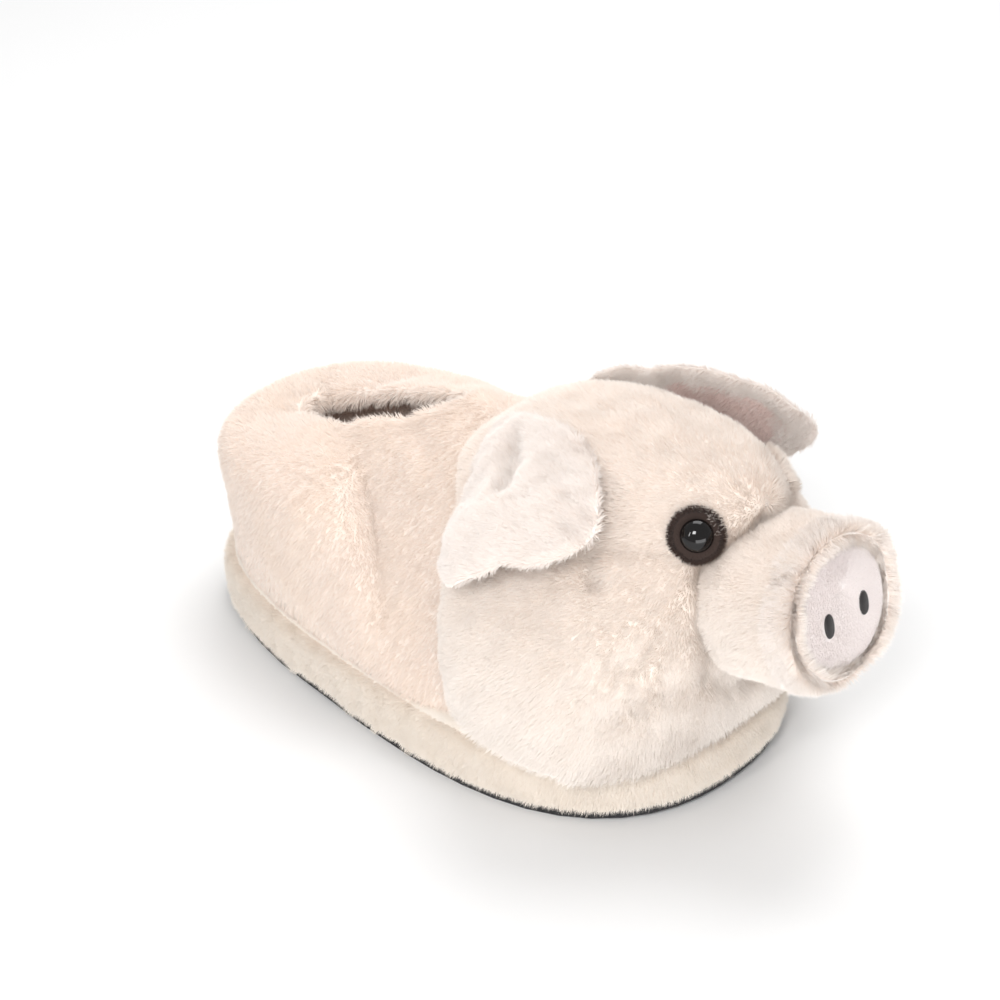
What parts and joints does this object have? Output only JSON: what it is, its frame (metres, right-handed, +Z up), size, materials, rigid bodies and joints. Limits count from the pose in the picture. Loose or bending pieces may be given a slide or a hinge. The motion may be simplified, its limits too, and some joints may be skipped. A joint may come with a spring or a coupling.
{
  "type": "animal slipper",
  "caption": "Plush pig slipper: a padded shell, open at the collar, on a foam platform sole, with a stuffed head, snout, eyes and floppy ears over the toes",
  "frame": {"origin": "on the floor, under the middle of the sole's length and width", "axes": "+X towards the toe, +Y to the wearer's left, +Z up"},
  "size_m": [0.3398, 0.18, 0.1583],
  "materials": {
    "tread": "matt dark non-slip sheet",
    "band_plush": "sheared plush round a foam core",
    "lining_plush": "short fleece",
    "cream_plush": "soft plush with a short pile",
    "ear_plush": "short pink pile",
    "nose_plush": "smooth short pile",
    "stitching": "satin stitched ovals",
    "patch_pile": "dark short pile",
    "eye_gloss": "polished dome"
  },
  "bodies": {
    "root": {"outsole": "tread", "midsole": "band_plush", "insole": "lining_plush", "upper": "cream_plush", "head": "cream_plush", "snout": "cream_plush", "ear_left": "cream_plush", "ear_right": "cream_plush", "ear_lining_left": "ear_plush", "ear_lining_right": "ear_plush", "nose_disc": "nose_plush", "nostril_left": "stitching", "nostril_right": "stitching", "eye_patch_left": "patch_pile", "eye_patch_right": "patch_pile", "eye_left": "eye_gloss", "eye_right": "eye_gloss"}
  },
  "joints": []
}
